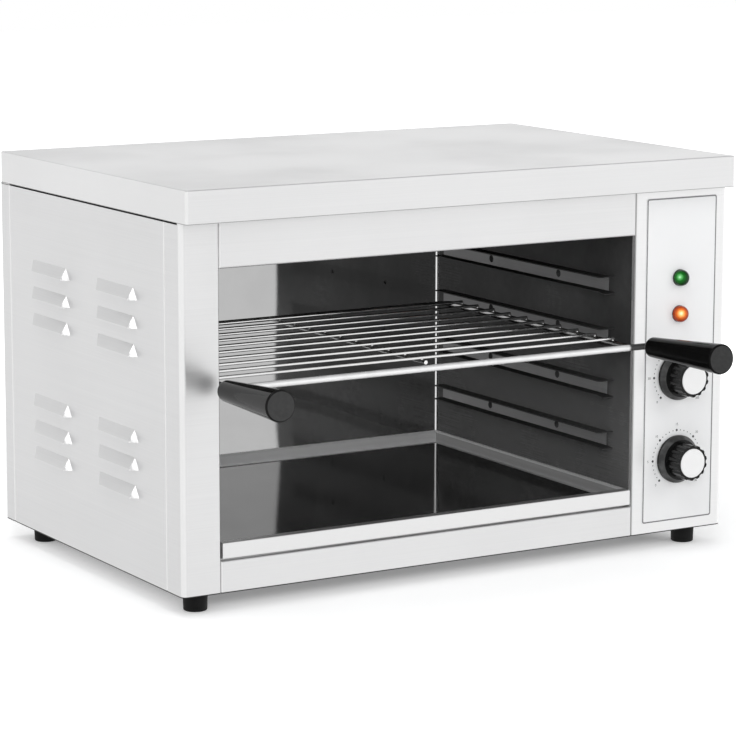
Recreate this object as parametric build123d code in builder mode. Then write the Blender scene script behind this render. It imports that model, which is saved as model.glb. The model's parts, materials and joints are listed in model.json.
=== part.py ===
"""Countertop salamander grill: a folded steel casing round an open grilling chamber.

A wire rack slides in channel runners on the chamber walls, a drip tray slides on the chamber floor,
and two knobs, two lamps and their switch bodies sit on the control panel at the right.
Millimetres, +X right, +Y back, +Z up. The origin is under the middle of the overall box, on the table.
"""
import os
from math import cos, floor, radians, sin

from build123d import *

# Casing
casing_width = 475.0
casing_depth = 303.5
casing_height = 267.5
sheet = 1.0
pan_sheet = 1.2
bend_radius = 1.5
corner_bend = 4.0
edge_round = 0.9

# Top cover
cover_height = 24.0
cover_overhang = 10.0
cover_return = 24.0
cover_gap = 1.2
cover_bend = 1.0
cover_corner = 2.5

# Front layout and seams
post_width = 30.8
panel_width = 86.3
front_return = 16.0
edge_return = 4.0
side_flange = 24.0
fascia_height = 33.7
sill_height = 23.6
seam_gap = 0.6
seam_lap = 9.0
foot_flange = 10.0

# Back panel
back_wrap = 16.0
back_flange = 15.0
tab_width = 30.0
tab_root = 12.0
tab_rise = 6.0
tab_spread = 190.0
vent_length = 40.0
vent_width = 4.0
vent_pitch = 9.0
vent_rows = 6
vent_columns = 3
vent_column_pitch = 62.0
vent_height = 95.0

# Louvres of the side panels
louvre_length = 66.0
louvre_height = 8.6
louvre_reach = 6.0
louvre_front_end = 4.0
louvre_front_angle = 54.0
louvre_rear_end = 11.0
louvre_rear_angle = 82.0
louvre_lip = 1.2
louvre_wall = 0.9
louvre_pitch = 20.6
louvre_rows = 3
louvre_lower_height = 60.0
louvre_upper_height = 163.8
louvre_front_column = 100.5
louvre_column_pitch = 112.5

# Feet
foot_height = 15.0
foot_radius = 9.2
foot_base_radius = 8.7
foot_base_round = 1.0
foot_side_inset = 21.0
foot_front_inset = 21.6
foot_rear_inset = 27.0
foot_counterbore = 6.0
foot_screw_radius = 2.5
foot_head_radius = 4.6
foot_head_height = 3.0
collar_radius = 5.0
collar_height = 5.0

# Chamber
back_space = 20.5
ceiling_drop = 5.5
chamber_corner = 2.5

# Runners and rivets
runner_levels = 4
runner_height = 12.0
runner_depth = 10.0
runner_sheet = 0.8
runner_front = 26.0
runner_back_gap = 11.0
runner_flare = 7.0
runner_flare_rise = 1.0
runner_low_clear = 46.8
runner_high_clear = 69.2
rivet_front = 102.0
rivet_spacing = 97.0
rivet_shank_radius = 1.6
rivet_head_radius = 3.0
rivet_head_height = 1.1
rivet_tail_radius = 2.6

# Rack
levels_above_rack = 1
rack_rest_gap = 0.3
rack_side_play = 2.2
rack_back_gap = 28.0
front_bar_diameter = 5.0
side_wire_diameter = 4.0
cross_wire_diameter = 2.5
support_wire_diameter = 3.0
bar_standoff = 4.5
rack_corner_radius = 9.0
cross_first = 26.0
cross_pitch = 24.0
cross_end_space = 10.0
cross_overrun = 0.4
support_overrun = 6.0

# Grips
grip_length = 88.5
grip_neck = 5.5
grip_tilt = 2.2
left_grip_splay = 3.0
grip_outset = 6.9
grip_base_radius = 7.6
grip_base_round = 4.2
grip_end_radius = 11.4
grip_end_round = 1.3
grip_bore_depth = 45.0

# Drip tray
tray_side_gap = 1.5
tray_back_gap = 2.0
tray_height = 11.8
tray_sheet = 0.8
tray_bend = 2.0
tray_hem = 5.5
tray_rest_gap = 0.3
tray_lip_depth = 7.0
tray_lip_round = 0.8

# Control panel
label_thickness = 0.4
control_offset = -1.3
label_side_margin = 10.2
label_low_margin = 8.4
label_top_margin = 6.2
label_corner = 2.0
lower_knob_height = 57.1
upper_knob_height = 122.4
amber_lamp_height = 171.0
green_lamp_height = 199.0

# Knobs, shafts and switch bodies
knob_skirt_radius = 18.7
knob_shoulder_radius = 15.8
knob_skirt_height = 6.0
knob_grip_radius = 13.8
knob_depth = 20.5
knob_flutes = 14
knob_flute_radius = 2.6
knob_flute_bite = 1.1
knob_gap = 0.6
knob_hollow_radius = 9.6
knob_hollow_depth = 5.0
knob_rim = 2.2
cap_radius = 11.3
cap_height = 1.2
cap_recess = 0.7
shaft_radius = 3.0
shaft_flat = 0.9
shaft_engagement = 12.0
shaft_inside = 14.0
bush_radius = 4.8
nut_across_flats = 14.0
nut_height = 2.5
bush_end = 0.5
timer_width = 44.0
timer_depth = 38.0
thermostat_radius = 21.0
thermostat_depth = 27.0
body_edge = 2.0

# Lamps
lens_radius = 6.3
lens_edge = 2.0
lens_rise = 5.8
lens_stem = 2.5
bezel_radius = 6.5
bezel_height = 0.6
barrel_radius = 5.2
barrel_length = 26.0
lamp_tail_radius = 6.2
lamp_tail_step = 4.0

# Heating elements
element_radius = 3.5
element_drop = 14.0
element_left_space = 30.0
element_first = 60.0
element_pair = 40.0
element_pitch = 120.0
element_stub = 16.0
element_pin_radius = 1.5
element_pin_length = 8.0
hanger_thickness = 1.2
hanger_margin = 8.0
hanger_left_space = 75.0
hanger_right_space = 70.0
hanger_foot = 10.0
wall_bush_radius = 5.5
wall_bush_flange = 7.5
wall_bush_flange_height = 2.0
wall_bush_tail = 4.0

# Thermostat bulb and capillary
bulb_radius = 3.0
bulb_length = 40.0
bulb_front = 124.0
bulb_wall_space = 9.0
bulb_drop = 9.0
capillary_radius = 1.0
capillary_bend = 6.0
capillary_exit = 118.0
capillary_wall_space = 22.0
clip_length = 4.0
clip_width = 9.0
clip_inset = 6.0

# Electrical inlet and wiring
terminal_width = 24.0
terminal_depth = 18.0
terminal_height = 40.0
terminal_low = 70.0
terminal_ways = 3
terminal_well_radius = 2.4
terminal_well_depth = 6.0
gland_reach = 12.0
gland_height = 30.0
gland_thread_radius = 8.0
gland_hex_radius = 12.0
gland_hex_height = 4.0
gland_dome_radius = 9.5
gland_bore_radius = 4.0
gland_tail = 9.0
gland_nut_height = 4.0
wire_radius = 1.3
wire_bend = 8.0

# Casing screws
screw_radius = 1.95
screw_head_radius = 3.6
screw_head_height = 2.2
screw_length = 8.0
screw_recess = 1.1
back_screw_inset = 9.0
back_screw_rows = 3
back_screw_margin = 40.0

# Fits
close_gap = 0.05
running_gap = 0.05

# Reference planes
x_side = casing_width / 2
x_inner = x_side - sheet
overall_depth = casing_depth + gland_reach
grip_reach = front_bar_diameter / 2 + bar_standoff + grip_neck
grip_reach += grip_length * cos(radians(grip_tilt)) + grip_end_radius * sin(radians(grip_tilt))
overall_depth += grip_reach
y_front = -overall_depth / 2 + grip_reach
y_back = y_front + casing_depth
z_bottom = foot_height
z_pan = z_bottom + pan_sheet
z_top = z_bottom + casing_height
z_cover = z_top + cover_height
z_fascia = z_top - fascia_height
z_sill = z_bottom + sill_height
z_floor = z_sill + sheet
z_ceiling = z_top - ceiling_drop
x_open_left = -x_side + post_width
x_open_right = x_side - panel_width
x_chamber = (x_open_left + x_open_right) / 2
x_label = (x_open_right + x_side) / 2
x_panel = x_label + control_offset
open_width = x_open_right - x_open_left
y_return = y_front + front_return
y_edge = y_front + edge_return
y_chamber_back = y_back - back_space
y_seam_front = y_front + side_flange + seam_gap
y_seam_back = y_back - back_wrap - seam_gap
z_seam_top = z_top - sheet - cover_gap
y_label = y_front - label_thickness

os.makedirs("parts", exist_ok=True)


def block(x0, x1, y0, y1, z0, z1, mode=Mode.ADD):
    """Block between two opposite corners, for the open part."""
    with Locations(((x0 + x1) / 2, (y0 + y1) / 2, (z0 + z1) / 2)):
        Box(abs(x1 - x0), abs(y1 - y0), abs(z1 - z0), mode=mode)


def rod_y(x, z, y0, y1, radius, mode=Mode.ADD):
    """Round rod or hole along Y, for the open part."""
    with Locations(Location((x, (y0 + y1) / 2, z), (90, 0, 0))):
        Cylinder(radius, abs(y1 - y0), mode=mode)


def rod_x(y, z, x0, x1, radius, mode=Mode.ADD):
    """Round rod or hole along X, for the open part."""
    with Locations(Location(((x0 + x1) / 2, y, z), (0, 90, 0))):
        Cylinder(radius, abs(x1 - x0), mode=mode)


def clear_pan():
    """Seat the open part on the base pan."""
    add(pan_blank.part, mode=Mode.SUBTRACT)


def front_plane(x, y, z):
    """Plane that faces the user, with its X along +X and its Y up."""
    return Plane(origin=(x, y, z), x_dir=(1, 0, 0), z_dir=(0, -1, 0))


def save(name, piece):
    """Label a finished sub-part and write it."""
    piece.part.label = name
    export_step(piece.part, f"parts/{name}.step")


# Places that several pieces share
foot_places = [
    ("front_left_foot", -x_side + foot_side_inset, y_front + foot_front_inset),
    ("front_right_foot", x_side - foot_side_inset, y_front + foot_front_inset),
    ("rear_left_foot", -x_side + foot_side_inset, y_back - foot_rear_inset),
    ("rear_right_foot", x_side - foot_side_inset, y_back - foot_rear_inset),
]
z_upper_knob = z_bottom + upper_knob_height
z_lower_knob = z_bottom + lower_knob_height
z_amber = z_bottom + amber_lamp_height
z_green = z_bottom + green_lamp_height
z_gland = z_bottom + gland_height
z_cover_screw = z_top + cover_height / 2
cover_screw_places = [(x, z_cover_screw) for x in (-tab_spread, 0, tab_spread)]
back_screw_pitch = (casing_height - 2 * back_screw_margin) / (back_screw_rows - 1)
back_screw_places = [
    (side * (x_inner - back_screw_inset), z_bottom + back_screw_margin + row * back_screw_pitch)
    for side in (-1, 1)
    for row in range(back_screw_rows)
]
runner_pitch = (z_ceiling - runner_high_clear - z_floor - runner_low_clear) / (runner_levels - 1)
runner_heights = [z_ceiling - runner_high_clear - level * runner_pitch for level in range(runner_levels)]
rivet_rows = [y_front + rivet_front, y_front + rivet_front + rivet_spacing]
z_element = z_ceiling - element_drop
element_legs = {
    "heating_element_front": (y_front + element_first, y_front + element_first + element_pair),
    "heating_element_rear": (
        y_front + element_first + element_pitch,
        y_front + element_first + element_pitch + element_pair,
    ),
}
all_legs = [y for pair in element_legs.values() for y in pair]
z_bulb = z_ceiling - bulb_drop
x_bulb = x_open_right - bulb_wall_space
y_capillary = y_front + capillary_exit


# Base pan with screw collars over the feet, round at its front corners
with BuildPart() as pan_blank:
    block(-x_inner, x_inner, y_front + sheet, y_back - sheet, z_bottom, z_pan)
    fillet(pan_blank.edges().filter_by(Axis.Z).sort_by(Axis.Y)[:2], corner_bend - sheet)
with BuildPart() as base_pan:
    add(pan_blank.part)
    with Locations(*[(x, y, z_pan) for _, x, y in foot_places]):
        Cylinder(collar_radius, collar_height, align=(Align.CENTER, Align.CENTER, Align.MIN))
    with Locations(*[(x, y, z_pan + collar_height) for _, x, y in foot_places]):
        Hole(foot_screw_radius + close_gap)
save("base_pan", base_pan)

# Rubber feet, counterbored from below
for foot_name, foot_x, foot_y in foot_places:
    with BuildPart() as foot:
        with Locations((foot_x, foot_y, 0)):
            Cone(
                foot_base_radius,
                foot_radius,
                foot_height,
                align=(Align.CENTER, Align.CENTER, Align.MIN),
            )
        fillet(foot.edges().group_by(Axis.Z)[0], foot_base_round)
        with Locations(Location((foot_x, foot_y, 0), (180, 0, 0))):
            CounterBoreHole(foot_screw_radius + close_gap, foot_head_radius + close_gap, foot_counterbore)
    save(foot_name, foot)

# Foot screws, from the counterbores up into the pan's collars
with BuildPart() as foot_screws:
    with Locations(*[(x, y, foot_counterbore) for _, x, y in foot_places]):
        Cylinder(
            foot_head_radius,
            foot_head_height,
            align=(Align.CENTER, Align.CENTER, Align.MAX),
        )
        Cylinder(
            foot_screw_radius,
            foot_height - foot_counterbore + pan_sheet + collar_height,
            align=(Align.CENTER, Align.CENTER, Align.MIN),
        )
save("foot_screws", foot_screws)

# One pressed louvre: its outer hood and the hollow under it, open at the bottom
lip_length = louvre_length - louvre_front_end - louvre_rear_end
lip_middle = (louvre_front_end - louvre_rear_end) / 2
with BuildPart() as louvre_hood:
    with BuildSketch(Plane.YZ):
        Trapezoid(
            louvre_length,
            louvre_height,
            louvre_front_angle,
            louvre_rear_angle,
            align=(Align.CENTER, Align.MIN),
        )
    with BuildSketch(Plane.YZ.offset(-louvre_reach)):
        with Locations((lip_middle, 0)):
            Rectangle(lip_length, louvre_lip, align=(Align.CENTER, Align.MIN))
    loft()
with BuildPart() as louvre_hollow:
    with BuildSketch(Plane.YZ.offset(sheet)):
        Trapezoid(
            louvre_length - 2 * louvre_wall,
            louvre_height - louvre_wall,
            louvre_front_angle,
            louvre_rear_angle,
            align=(Align.CENTER, Align.MIN),
        )
    with BuildSketch(Plane.YZ.offset(louvre_wall - louvre_reach)):
        with Locations((lip_middle, 0)):
            Rectangle(lip_length - 2 * louvre_wall, louvre_lip, align=(Align.CENTER, Align.MIN))
    loft()
louvre_places = [
    (
        -x_side,
        y_front + louvre_front_column + column * louvre_column_pitch,
        z_bottom + base + row * louvre_pitch,
    )
    for column in range(2)
    for base in (louvre_lower_height, louvre_upper_height)
    for row in range(louvre_rows)
]

# Side panels: outer sheet, laps behind both seams, a foot flange and a back flange
with BuildPart() as left_side_panel:
    block(-x_side, -x_inner, y_seam_front, y_seam_back, z_bottom, z_top - cover_gap)
    fillet(left_side_panel.edges().filter_by(Axis.Z).group_by(Axis.X)[0], edge_round)
    block(-x_inner, -x_inner + sheet, y_seam_front - seam_lap, y_seam_front + seam_lap, z_pan, z_seam_top)
    block(-x_inner, -x_inner + sheet, y_seam_back - seam_lap, y_back - sheet, z_pan, z_seam_top)
    block(-x_inner, -x_inner + foot_flange, y_seam_front, y_seam_back, z_pan, z_pan + sheet)
    block(
        -x_inner,
        -x_inner + 2 * back_screw_inset,
        y_back - 2 * sheet,
        y_back - sheet,
        z_pan,
        z_seam_top,
    )
    with Locations(*louvre_places):
        add(louvre_hood.part)
    with Locations(*louvre_places):
        add(louvre_hollow.part, mode=Mode.SUBTRACT)
    for screw_x, screw_z in back_screw_places:
        rod_y(screw_x, screw_z, y_back - 3 * sheet, y_back, screw_radius + close_gap, mode=Mode.SUBTRACT)
save("left_side_panel", left_side_panel)

with BuildPart() as right_side_panel:
    mirror(left_side_panel.part, about=Plane.YZ)
save("right_side_panel", right_side_panel)


# Front corner pieces: a front sheet folded back at the casing's side and at the opening
def corner_piece(x_outer, x_edge):
    inward = 1 if x_edge > x_outer else -1
    with BuildPart() as piece:
        block(x_outer, x_edge, y_front, y_front + sheet, z_bottom, z_top)
        block(x_outer, x_outer + inward * sheet, y_front, y_front + side_flange, z_bottom, z_top)
        block(x_edge - inward * sheet, x_edge, y_front, y_edge, z_bottom, z_top)
        bends = piece.edges().filter_by(Axis.Z)
        inside = (x_outer + inward * sheet, y_front + sheet, z_top)
        fillet(bends.sort_by_distance(inside)[0], corner_bend - sheet)
        bends = piece.edges().filter_by(Axis.Z)
        fillet(bends.sort_by_distance((x_outer, y_front, z_top))[0], corner_bend)
        bends = piece.edges().filter_by(Axis.Z)
        fillet(bends.sort_by_distance((x_edge, y_front, z_top))[0], bend_radius)
        flange_edges = piece.edges().filter_by(Axis.Z).group_by(Axis.Y)[-1].sort_by(Axis.X)
        fillet(flange_edges[0] if inward > 0 else flange_edges[-1], edge_round)
        block(
            x_outer,
            x_outer + inward * sheet,
            y_front + corner_bend,
            y_front + side_flange,
            z_top - cover_gap,
            z_top,
            mode=Mode.SUBTRACT,
        )
        clear_pan()
    return piece


save("left_front_post", corner_piece(-x_side, x_open_left))

panel_blank = corner_piece(x_side, x_open_right)
with BuildPart() as control_panel:
    add(panel_blank.part)
    for knob_z in (z_upper_knob, z_lower_knob):
        rod_y(x_panel, knob_z, y_front, y_front + sheet, bush_radius + close_gap, mode=Mode.SUBTRACT)
    for lamp_z in (z_green, z_amber):
        rod_y(x_panel, lamp_z, y_front, y_front + sheet, barrel_radius + close_gap, mode=Mode.SUBTRACT)
save("control_panel", control_panel)

# Control label on the panel, with holes for the bushes and lamps
label_width = panel_width - 2 * label_side_margin
label_height = casing_height - label_low_margin - label_top_margin
with BuildPart() as control_label:
    with BuildSketch(front_plane(x_label, y_front, z_bottom + label_low_margin)):
        with Locations((0, label_height / 2)):
            RectangleRounded(label_width, label_height, label_corner)
    extrude(amount=label_thickness)
    for knob_z in (z_upper_knob, z_lower_knob):
        rod_y(x_panel, knob_z, y_label, y_front, bush_radius + close_gap, mode=Mode.SUBTRACT)
    for lamp_z in (z_green, z_amber):
        rod_y(x_panel, lamp_z, y_label, y_front, barrel_radius + close_gap, mode=Mode.SUBTRACT)
save("control_label", control_label)


# Front sheets between the corner pieces, folded back all round
def front_sheet(z0, z1, open_bottom):
    z_inside = z0 if open_bottom else z0 + sheet
    with BuildPart() as piece:
        block(x_open_left, x_open_right, y_front, y_return, z0, z1)
        folded = piece.faces().sort_by(Axis.Y)[0].edges().sort_by(Axis.Z)
        fillet(folded[1:] if open_bottom else folded, bend_radius)
        block(
            x_open_left + sheet,
            x_open_right - sheet,
            y_front + sheet,
            y_return,
            z_inside,
            z1 - sheet,
            mode=Mode.SUBTRACT,
        )
        clear_pan()
    return piece


save("front_fascia", front_sheet(z_fascia, z_top, open_bottom=False))
save("lower_front_panel", front_sheet(z_bottom, z_sill, open_bottom=True))

# Top cover: five sides, with a return under its overhanging front rim
with BuildPart() as cover_hollow:
    block(-x_inner, x_inner, y_front - cover_overhang + sheet, y_back - sheet, z_top, z_cover - sheet)
    fillet(cover_hollow.edges().filter_by(Axis.Z), cover_corner - sheet)
with BuildPart() as top_cover:
    block(-x_side, x_side, y_front - cover_overhang, y_back, z_top, z_cover)
    fillet(top_cover.edges().filter_by(Axis.Z), cover_corner)
    fillet(top_cover.edges().group_by(Axis.Z)[-1], cover_bend)
    add(cover_hollow.part, mode=Mode.SUBTRACT)
    block(
        -x_inner,
        x_inner,
        y_front - cover_overhang + sheet,
        y_front - cover_overhang + cover_return,
        z_top,
        z_top + sheet,
    )
    for screw_x, screw_z in cover_screw_places:
        rod_y(screw_x, screw_z, y_back - sheet, y_back, screw_radius + close_gap, mode=Mode.SUBTRACT)
save("top_cover", top_cover)

# Back panel: wraps on to the sides, carries the cover's tabs, the vents and the cable gland
with BuildPart() as back_panel:
    block(-x_side, x_side, y_back - sheet, y_back, z_bottom, z_top)
    for side in (-1, 1):
        block(side * x_inner, side * x_side, y_back - back_wrap, y_back, z_bottom, z_top)
    fillet(back_panel.edges().filter_by(Axis.Z).group_by(Axis.Y)[-1], bend_radius)
    wrap_edges = back_panel.edges().filter_by(Axis.Z).group_by(Axis.Y)[0].sort_by(Axis.X)
    fillet([wrap_edges[0], wrap_edges[-1]], edge_round)
    for side in (-1, 1):
        block(
            side * x_inner,
            side * x_side,
            y_back - back_wrap,
            y_back - bend_radius,
            z_top - cover_gap,
            z_top,
            mode=Mode.SUBTRACT,
        )
    block(-x_inner, x_inner, y_back - back_flange, y_back - sheet, z_top - sheet, z_top)
    for tab_x, tab_z in cover_screw_places:
        block(
            tab_x - tab_width / 2,
            tab_x + tab_width / 2,
            y_back - 2 * sheet,
            y_back - sheet,
            z_top - tab_root,
            tab_z + tab_rise,
        )
        rod_y(tab_x, tab_z, y_back - 2 * sheet, y_back - sheet, screw_radius + close_gap, mode=Mode.SUBTRACT)
    with BuildSketch(front_plane(x_chamber, y_back, z_bottom + vent_height)):
        with GridLocations(vent_column_pitch, vent_pitch, vent_columns, vent_rows):
            SlotOverall(vent_length, vent_width)
    extrude(amount=sheet, mode=Mode.SUBTRACT)
    for screw_x, screw_z in back_screw_places:
        rod_y(screw_x, screw_z, y_back - sheet, y_back, screw_radius + close_gap, mode=Mode.SUBTRACT)
    rod_y(x_panel, z_gland, y_back - sheet, y_back, gland_thread_radius + close_gap, mode=Mode.SUBTRACT)
save("back_panel", back_panel)

# Casing screws: round heads with a cross recess, three for the cover and the rest for the back panel
with BuildPart() as casing_screw:
    with BuildSketch(Plane.XZ):
        Circle(screw_radius)
    extrude(amount=screw_length)
    with BuildSketch(Plane.XZ):
        Circle(screw_head_radius)
    extrude(amount=-screw_head_height)
    fillet(casing_screw.edges().sort_by(Axis.Y)[-1], screw_head_height / 2)
    with BuildSketch(Plane.XZ.offset(-screw_head_height)):
        Rectangle(screw_head_radius, screw_head_radius / 4)
        Rectangle(screw_head_radius / 4, screw_head_radius)
    extrude(amount=screw_recess, mode=Mode.SUBTRACT)
with BuildPart() as casing_screws:
    with Locations(*[(x, y_back, z) for x, z in cover_screw_places + back_screw_places]):
        add(casing_screw.part)
save("casing_screws", casing_screws)

# Chamber walls: the side walls stand on the base pan, between the corner pieces' folds and the back wall
with BuildPart() as chamber_left_wall:
    block(x_open_left - sheet, x_open_left, y_edge, y_chamber_back, z_pan, z_ceiling)
    for rivet_y in rivet_rows:
        for runner_z in runner_heights:
            rod_x(
                rivet_y,
                runner_z,
                x_open_left - sheet,
                x_open_left,
                rivet_shank_radius + close_gap,
                mode=Mode.SUBTRACT,
            )
save("chamber_left_wall", chamber_left_wall)

with BuildPart() as chamber_right_wall:
    block(x_open_right, x_open_right + sheet, y_edge, y_chamber_back, z_pan, z_ceiling)
    wall_holes = [(y, z, rivet_shank_radius) for y in rivet_rows for z in runner_heights]
    wall_holes += [(y, z_element, wall_bush_radius) for y in all_legs]
    wall_holes += [(y_capillary, z_bulb, capillary_radius)]
    for hole_y, hole_z, hole_radius in wall_holes:
        rod_x(
            hole_y,
            hole_z,
            x_open_right,
            x_open_right + sheet,
            hole_radius + close_gap,
            mode=Mode.SUBTRACT,
        )
save("chamber_right_wall", chamber_right_wall)

# Back wall, whose two folded corners are hollow curves
with BuildPart() as chamber_back_wall:
    block(
        x_open_left - sheet,
        x_open_right + sheet,
        y_chamber_back,
        y_chamber_back + sheet,
        z_pan,
        z_ceiling,
    )
    for corner_x, inward in ((x_open_left, 1), (x_open_right, -1)):
        block(
            corner_x,
            corner_x + inward * chamber_corner,
            y_chamber_back - chamber_corner,
            y_chamber_back,
            z_floor,
            z_ceiling,
        )
        with Locations(
            (corner_x + inward * chamber_corner, y_chamber_back - chamber_corner, (z_floor + z_ceiling) / 2)
        ):
            Cylinder(chamber_corner, z_ceiling - z_floor, mode=Mode.SUBTRACT)
save("chamber_back_wall", chamber_back_wall)

with BuildPart() as chamber_ceiling:
    block(
        x_open_left - sheet,
        x_open_right + sheet,
        y_return,
        y_chamber_back + sheet,
        z_ceiling,
        z_ceiling + sheet,
    )
save("chamber_ceiling", chamber_ceiling)

# Chamber floor, lying on the sill's fold
with BuildPart() as chamber_floor:
    block(
        x_open_left + sheet,
        x_open_right - sheet,
        y_front + front_return / 2,
        y_return,
        z_sill,
        z_floor,
    )
    block(x_open_left, x_open_right, y_return, y_chamber_back, z_sill, z_floor)
save("chamber_floor", chamber_floor)

# Runners: channels open to the chamber, whose flanges flare at the front
y_run_front = y_front + runner_front
y_run_back = y_chamber_back - runner_back_gap
runner_inner = runner_height - 2 * runner_sheet


def runner(x_wall, inward, z_middle):
    with BuildPart() as piece:
        for up in (-1, 1):
            z_in = z_middle + up * runner_inner / 2
            z_out = z_middle + up * runner_height / 2
            with BuildSketch(Plane.YZ.offset(x_wall)):
                with BuildLine():
                    Polyline(
                        (y_run_back, z_in),
                        (y_run_front + runner_flare, z_in),
                        (y_run_front, z_in + up * runner_flare_rise),
                        (y_run_front, z_out + up * runner_flare_rise),
                        (y_run_front + runner_flare, z_out),
                        (y_run_back, z_out),
                        close=True,
                    )
                make_face()
            extrude(amount=inward * runner_depth)
        block(
            x_wall,
            x_wall + inward * runner_sheet,
            y_run_front + runner_flare,
            y_run_back,
            z_middle - runner_height / 2,
            z_middle + runner_height / 2,
        )
        for rivet_y in rivet_rows:
            rod_x(
                rivet_y,
                z_middle,
                x_wall,
                x_wall + inward * runner_sheet,
                rivet_shank_radius + close_gap,
                mode=Mode.SUBTRACT,
            )
    return piece


for level, runner_z in enumerate(runner_heights, start=1):
    save(f"left_runner_{level}", runner(x_open_left, 1, runner_z))
    save(f"right_runner_{level}", runner(x_open_right, -1, runner_z))

# Runner rivets: domed heads in the channels, set tails behind the walls
rivet_grip = runner_sheet + sheet
with BuildPart() as runner_rivet:
    with BuildSketch(Plane.XZ):
        with BuildLine():
            RadiusArc((-rivet_head_height, 0), (0, rivet_head_radius), rivet_head_radius * 2)
            Polyline(
                (0, rivet_head_radius),
                (0, rivet_shank_radius),
                (rivet_grip, rivet_shank_radius),
                (rivet_grip, rivet_tail_radius),
                (rivet_grip + rivet_head_height, rivet_tail_radius),
                (rivet_grip + rivet_head_height, 0),
                (-rivet_head_height, 0),
            )
        make_face()
    revolve(axis=Axis.X)
rivet_places = []
for rivet_y in rivet_rows:
    for runner_z in runner_heights:
        rivet_places.append(Location((x_open_right - runner_sheet, rivet_y, runner_z)))
        rivet_places.append(Location((x_open_left + runner_sheet, rivet_y, runner_z), (0, 0, 180)))
with BuildPart() as runner_rivets:
    with Locations(*rivet_places):
        add(runner_rivet.part)
save("runner_rivets", runner_rivets)

# Rack: its side wires lie in one pair of runners, its front bar stands ahead of the casing
z_rack = runner_heights[levels_above_rack] - runner_inner / 2 + rack_rest_gap + side_wire_diameter / 2
y_bar = y_front - bar_standoff - front_bar_diameter / 2
y_rack_back = y_chamber_back - rack_back_gap
rack_half = open_width / 2 - runner_sheet - rivet_head_height - rack_side_play - side_wire_diameter / 2
grip_half = open_width / 2 + grip_outset
right_axis = Vector(0, -cos(radians(grip_tilt)), sin(radians(grip_tilt)))
left_axis = right_axis.rotate(Axis.Z, -left_grip_splay)
left_half = grip_half - (grip_neck + grip_length) * sin(radians(left_grip_splay))
left_bend = Vector(x_chamber - left_half, y_bar, z_rack)
right_bend = Vector(x_chamber + grip_half, y_bar, z_rack)

with BuildPart() as rack_front_bar:
    left_tip = left_bend + left_axis * (grip_neck + grip_bore_depth)
    right_tip = right_bend + right_axis * (grip_neck + grip_bore_depth)
    with BuildLine() as bar_path:
        FilletPolyline(
            left_tip,
            left_bend,
            right_bend,
            right_tip,
            radius=front_bar_diameter,
        )
    with BuildSketch(Plane(origin=left_tip, z_dir=-left_axis)):
        Circle(front_bar_diameter / 2)
    sweep(path=bar_path.line)
save("rack_front_bar", rack_front_bar)

with BuildPart() as rack_side_frame:
    with BuildLine() as frame_path:
        FilletPolyline(
            (x_chamber - rack_half, y_bar, z_rack),
            (x_chamber - rack_half, y_rack_back, z_rack),
            (x_chamber + rack_half, y_rack_back, z_rack),
            (x_chamber + rack_half, y_bar, z_rack),
            radius=rack_corner_radius,
        )
    with BuildSketch(Plane(origin=(x_chamber - rack_half, y_bar, z_rack), z_dir=(0, 1, 0))):
        Circle(side_wire_diameter / 2)
    sweep(path=frame_path.line)
    add(rack_front_bar.part, mode=Mode.SUBTRACT)
save("rack_side_frame", rack_side_frame)

cross_count = floor((y_rack_back - y_bar - cross_first - cross_end_space) / cross_pitch) + 1
z_cross = z_rack + side_wire_diameter / 2 + cross_wire_diameter / 2
with BuildPart() as rack_cross_wires:
    for wire in range(cross_count):
        rod_x(
            y_bar + cross_first + wire * cross_pitch,
            z_cross,
            x_chamber - rack_half - cross_overrun,
            x_chamber + rack_half + cross_overrun,
            cross_wire_diameter / 2,
        )
save("rack_cross_wires", rack_cross_wires)

z_support = z_cross - cross_wire_diameter / 2 - support_wire_diameter / 2
with BuildPart() as rack_support_wire:
    rod_y(
        x_chamber,
        z_support,
        y_bar + cross_first - support_overrun,
        y_rack_back - side_wire_diameter / 2 - rack_rest_gap,
        support_wire_diameter / 2,
    )
save("rack_support_wire", rack_support_wire)

# Grips: turned handles, drawn in at the base, flat at the end, bored for the bar's ends
for grip_name, bend, grip_axis in (
    ("rack_left_grip", left_bend, left_axis),
    ("rack_right_grip", right_bend, right_axis),
):
    grip_side = grip_axis.cross(Vector(0, 0, 1))
    grip_plane = Plane(origin=bend + grip_axis * grip_neck, x_dir=-grip_side, z_dir=grip_axis)
    with BuildPart() as grip:
        profile_plane = Plane(origin=grip_plane.origin, x_dir=grip_plane.x_dir, z_dir=-grip_plane.y_dir)
        with BuildSketch(profile_plane):
            with BuildLine():
                Polyline(
                    (0, 0),
                    (grip_base_radius, 0),
                    (grip_end_radius, grip_length),
                    (0, grip_length),
                    close=True,
                )
            make_face()
        grip_line = Axis(grip_plane.origin, grip_axis)
        revolve(axis=grip_line)
        rims = grip.edges().filter_by(GeomType.CIRCLE).sort_by(grip_line)
        fillet(rims[0], grip_base_round)
        rims = grip.edges().filter_by(GeomType.CIRCLE).sort_by(grip_line)
        fillet(rims[-1], grip_end_round)
        with BuildSketch(grip_plane):
            Circle(front_bar_diameter / 2 + close_gap)
        extrude(amount=grip_bore_depth + close_gap, mode=Mode.SUBTRACT)
    save(grip_name, grip)

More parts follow.
